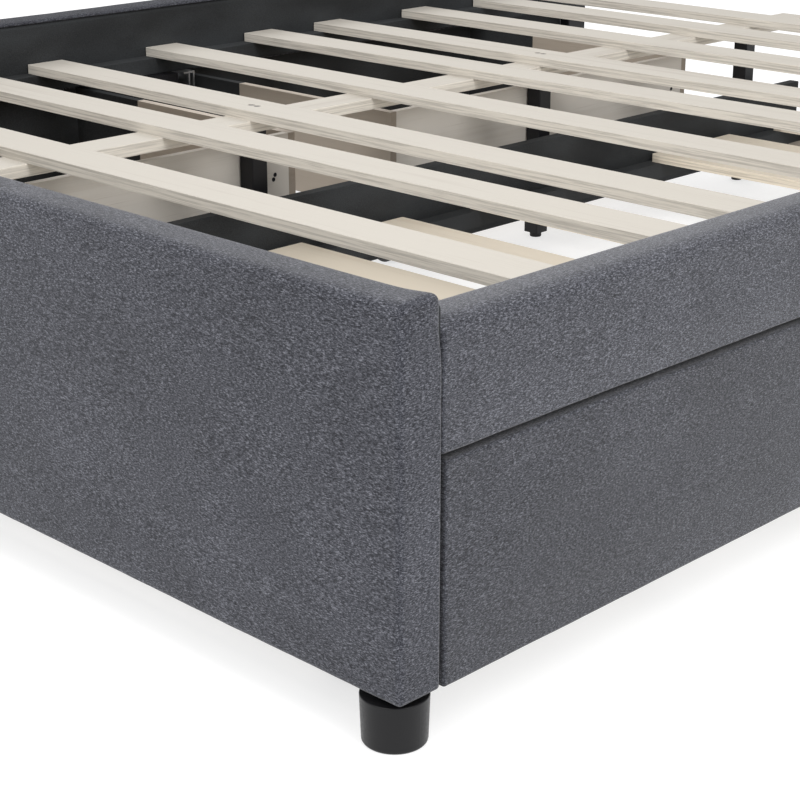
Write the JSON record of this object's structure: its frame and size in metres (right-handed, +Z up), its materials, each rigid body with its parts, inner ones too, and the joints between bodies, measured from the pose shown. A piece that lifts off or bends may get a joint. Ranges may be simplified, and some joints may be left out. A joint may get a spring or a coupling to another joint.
{
  "type": "platform bed",
  "caption": "Upholstered low platform bed with a slatted deck, a pull-out slatted trundle on one long side and storage drawers on the other.",
  "frame": {"origin": "on the floor, at the middle of the bed's footprint", "axes": "+Y to the head end, +X to the long side with the trundle, +Z up"},
  "size_m": [1.468, 1.958, 0.365],
  "materials": {
    "cover_fabric": "heathered blue-grey woven linen look",
    "slat_wood": "pale raw poplar plywood, unvarnished",
    "board_wood": "pale raw plywood, slightly darker than the slats",
    "black_board": "board lined with near-black backing cloth",
    "black_metal": "satin black powder coat",
    "leg_plastic": "satin black",
    "bracket_steel": "zinc plated",
    "wheel_plastic": "dark grey nylon"
  },
  "bodies": {
    "frame": {"foot_panel": "black_board", "foot_panel_cover": "cover_fabric", "near_rail": "black_board", "near_rail_cover": "cover_fabric", "far_rail": "black_board", "far_rail_cover": "cover_fabric", "near_ledge": "black_board", "far_ledge": "black_board", "head_bar": "black_board", "support_beam": "slat_wood", "slat_0": "slat_wood", "slat_1": "slat_wood", "slat_2": "slat_wood", "slat_3": "slat_wood", "slat_4": "slat_wood", "slat_5": "slat_wood", "slat_6": "slat_wood", "slat_7": "slat_wood", "slat_8": "slat_wood", "slat_9": "slat_wood", "slat_screws": "black_metal", "beam_post_1": "black_metal", "beam_post_2": "black_metal", "beam_post_3": "black_metal", "foot_leg_near": "leg_plastic", "foot_leg_far": "leg_plastic", "head_post_near": "black_metal", "head_post_far": "black_metal", "mid_post": "black_metal", "steel_brackets": "bracket_steel", "end_panel": "black_board", "end_panel_cover": "cover_fabric"},
    "trundle": {"trundle_front": "black_board", "trundle_front_cover": "cover_fabric", "trundle_back_rail": "black_board", "trundle_foot_rail": "black_board", "trundle_head_rail": "board_wood", "trundle_ledges": "black_board", "trundle_slats": "slat_wood", "trundle_castors": "bracket_steel"},
    "trundle_wheels_front": {"trundle_wheels_front": "wheel_plastic"},
    "trundle_wheels_back": {"trundle_wheels_back": "wheel_plastic"},
    "drawer_1": {"drawer_1_front": "black_board", "drawer_1_front_cover": "cover_fabric", "drawer_1_sides": "board_wood", "drawer_1_back": "board_wood", "drawer_1_bottom": "board_wood", "drawer_1_castors": "bracket_steel"},
    "drawer_1_wheels_front": {"drawer_1_wheels_front": "wheel_plastic"},
    "drawer_1_wheels_back": {"drawer_1_wheels_back": "wheel_plastic"},
    "drawer_2": {"drawer_2_front": "black_board", "drawer_2_front_cover": "cover_fabric", "drawer_2_sides": "board_wood", "drawer_2_back": "board_wood", "drawer_2_bottom": "board_wood", "drawer_2_castors": "bracket_steel"},
    "drawer_2_wheels_front": {"drawer_2_wheels_front": "wheel_plastic"},
    "drawer_2_wheels_back": {"drawer_2_wheels_back": "wheel_plastic"}
  },
  "joints": [
    {"name": "trundle_slide", "type": "slide", "parent": "frame", "child": "trundle", "axis": [1, 0, 0], "range_m": [0, 0.85]},
    {"name": "drawer_1_slide", "type": "slide", "parent": "frame", "child": "drawer_1", "axis": [-1, 0, 0], "range_m": [0, 0.38]},
    {"name": "drawer_2_slide", "type": "slide", "parent": "frame", "child": "drawer_2", "axis": [-1, 0, 0], "range_m": [0, 0.38]},
    {"name": "trundle_wheels_front_spin", "type": "hinge", "parent": "trundle", "child": "trundle_wheels_front", "pos_m": [0.6, 0, 0.022], "axis": [0, 1, 0], "continuous": true},
    {"name": "trundle_wheels_back_spin", "type": "hinge", "parent": "trundle", "child": "trundle_wheels_back", "pos_m": [-0.11, 0, 0.022], "axis": [0, 1, 0], "continuous": true},
    {"name": "drawer_1_wheels_front_spin", "type": "hinge", "parent": "drawer_1", "child": "drawer_1_wheels_front", "pos_m": [-0.64, 0, 0.025], "axis": [0, 1, 0], "continuous": true},
    {"name": "drawer_1_wheels_back_spin", "type": "hinge", "parent": "drawer_1", "child": "drawer_1_wheels_back", "pos_m": [-0.28, 0, 0.025], "axis": [0, 1, 0], "continuous": true},
    {"name": "drawer_2_wheels_front_spin", "type": "hinge", "parent": "drawer_2", "child": "drawer_2_wheels_front", "pos_m": [-0.64, 0, 0.025], "axis": [0, 1, 0], "continuous": true},
    {"name": "drawer_2_wheels_back_spin", "type": "hinge", "parent": "drawer_2", "child": "drawer_2_wheels_back", "pos_m": [-0.28, 0, 0.025], "axis": [0, 1, 0], "continuous": true}
  ]
}
